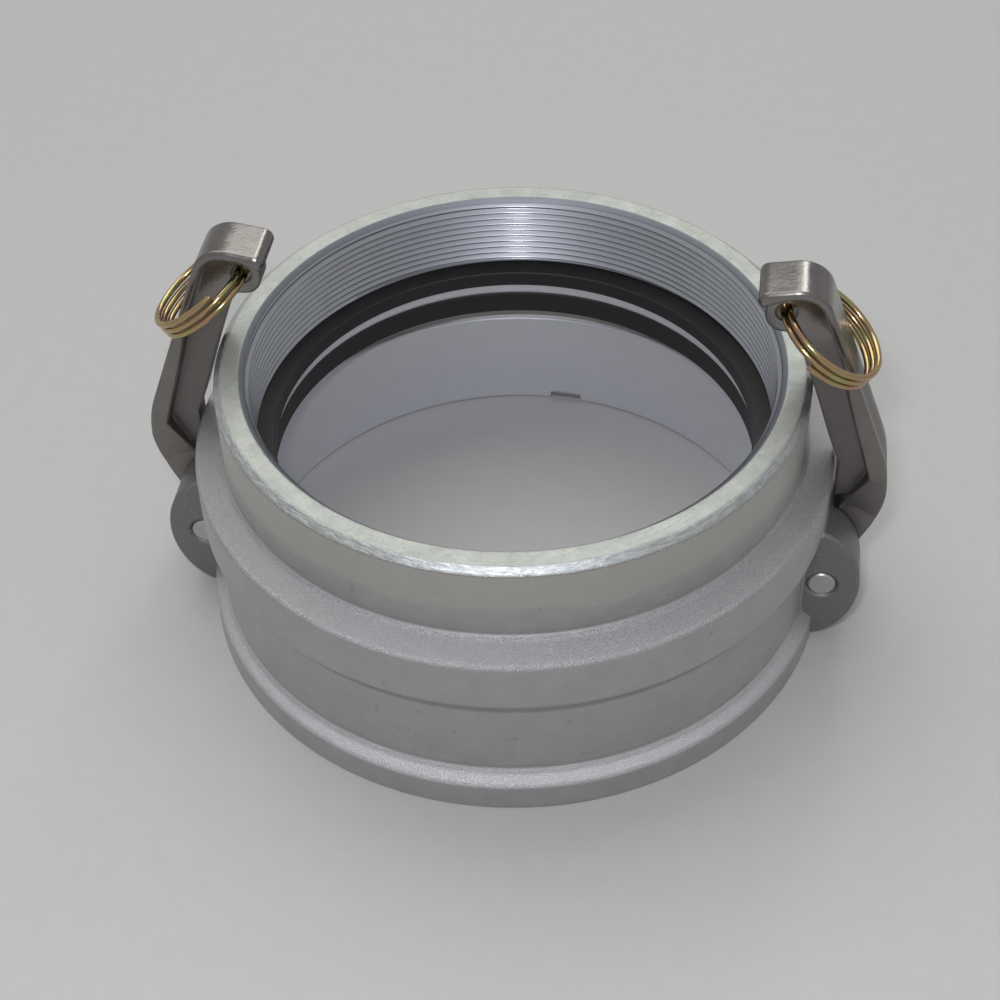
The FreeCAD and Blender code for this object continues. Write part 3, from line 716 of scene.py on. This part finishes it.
class COUPLING_OT_set_stage(bpy.types.Operator):
    """Builds the table, the lamps, the world and the camera"""

    bl_idname = "coupling.set_stage"
    bl_label = "Set Stage"

    def execute(self, context):
        scene = context.scene
        scene.view_settings.view_transform = "Standard"
        self.add_floor(scene)
        self.add_lamps(scene)
        self.add_world(scene)
        self.add_camera(scene)
        return {"FINISHED"}

    def add_floor(self, scene):
        shade = Shade("table_top", Roughness=0.6)
        where = shade.place()
        speckle = shade.noise(where, 0.14, 5.0, 0.6)
        studio = scene.coupling_studio
        shade.set("Base Color", shade.mix(speckle, scaled(studio.floor, 0.95),
                                          scaled(studio.floor, 1.03)))
        bm = bmesh.new()
        bmesh.ops.create_grid(bm, x_segments=1, y_segments=1, size=studio.floor_reach)
        mesh = bpy.data.meshes.new("table_top")
        bm.to_mesh(mesh)
        bm.free()
        mesh.materials.append(shade.material)
        floor_piece = bpy.data.objects.new("table_top", mesh)
        scene.collection.objects.link(floor_piece)

    def add_lamp(self, scene, name, place, target, size, power, tint):
        lamp = bpy.data.lights.new(name, "AREA")
        lamp.shape = "RECTANGLE"
        lamp.size, lamp.size_y = size
        lamp.energy = power
        lamp.color = tint
        holder = bpy.data.objects.new(name, lamp)
        holder.location = place
        toward = Vector(target) - Vector(place)
        holder.rotation_euler = toward.to_track_quat("-Z", "Y").to_euler()
        scene.collection.objects.link(holder)

    def add_lamps(self, scene):
        studio = scene.coupling_studio
        self.add_lamp(scene, "ceiling", (-0.5, 0.95, 2.1), (0, 0, 0), (2.4, 1.8),
                      studio.ceiling_power, DAYLIGHT)
        self.add_lamp(scene, "window", (0.45, 2.5, 1.9), (0, 0, 0.1), (0.4, 0.9),
                      studio.window_power, DAYLIGHT)
        beside_camera = Vector(CAMERA_PLACE) - Vector(CAMERA_RIGHT) * 0.03 - Vector(CAMERA_DOWN) * 0.05
        self.add_lamp(scene, "front", beside_camera, (0, 0, 0.05), (0.05, 0.03),
                      studio.front_power, COOL_LIGHT)

    def add_world(self, scene):
        world = bpy.data.worlds.new("room")
        scene.world = world
        world.use_nodes = True
        background = world.node_tree.nodes["Background"]
        background.inputs["Color"].default_value = (*ROOM_LIGHT, 1.0)
        background.inputs["Strength"].default_value = scene.coupling_studio.world_level

    def add_camera(self, scene):
        camera = bpy.data.cameras.new("camera")
        camera.sensor_width = CAMERA_SENSOR
        camera.lens = CAMERA_LENS
        holder = bpy.data.objects.new("camera", camera)
        axes = Matrix((CAMERA_RIGHT, -Vector(CAMERA_DOWN), -Vector(CAMERA_FORWARD)))
        holder.matrix_world = Matrix.Translation(CAMERA_PLACE) @ axes.transposed().to_4x4()
        scene.collection.objects.link(holder)
        scene.camera = holder


class COUPLING_PT_panel(bpy.types.Panel):
    """Lists the coupling's steps in the sidebar"""

    bl_idname = "COUPLING_PT_panel"
    bl_label = "Cam and Groove Coupling"
    bl_space_type = "VIEW_3D"
    bl_region_type = "UI"
    bl_category = "Coupling"

    def draw(self, context):
        layout = self.layout
        for operator in OPERATORS:
            layout.operator(operator.bl_idname)
        for group in [context.scene.coupling_sizes, context.scene.coupling_rings,
                      context.scene.coupling_colours, context.scene.coupling_studio]:
            box = layout.box()
            for name in group.__annotations__:
                box.prop(group, name)


GROUPS = [CouplingSizes, RingSizes, CouplingColours, StudioSettings]
OPERATORS = [COUPLING_OT_finish_body, COUPLING_OT_cut_thread, COUPLING_OT_finish_arms,
             COUPLING_OT_finish_pins, COUPLING_OT_wind_rings, COUPLING_OT_finish_gaskets,
             COUPLING_OT_set_stage]
CLASSES = GROUPS + OPERATORS + [COUPLING_PT_panel]


def register():
    for item in CLASSES:
        bpy.utils.register_class(item)
    bpy.types.Scene.coupling_sizes = bpy.props.PointerProperty(type=CouplingSizes)
    bpy.types.Scene.coupling_rings = bpy.props.PointerProperty(type=RingSizes)
    bpy.types.Scene.coupling_colours = bpy.props.PointerProperty(type=CouplingColours)
    bpy.types.Scene.coupling_studio = bpy.props.PointerProperty(type=StudioSettings)


def unregister():
    del bpy.types.Scene.coupling_studio
    del bpy.types.Scene.coupling_colours
    del bpy.types.Scene.coupling_rings
    del bpy.types.Scene.coupling_sizes
    for item in reversed(CLASSES):
        bpy.utils.unregister_class(item)


def main():
    register()
    bpy.ops.coupling.finish_body()
    bpy.ops.coupling.cut_thread()
    bpy.ops.coupling.finish_arms()
    bpy.ops.coupling.finish_pins()
    bpy.ops.coupling.wind_rings()
    bpy.ops.coupling.finish_gaskets()
    bpy.ops.coupling.set_stage()
    bpy.context.view_layer.update()


if __name__ == "__main__":
    main()
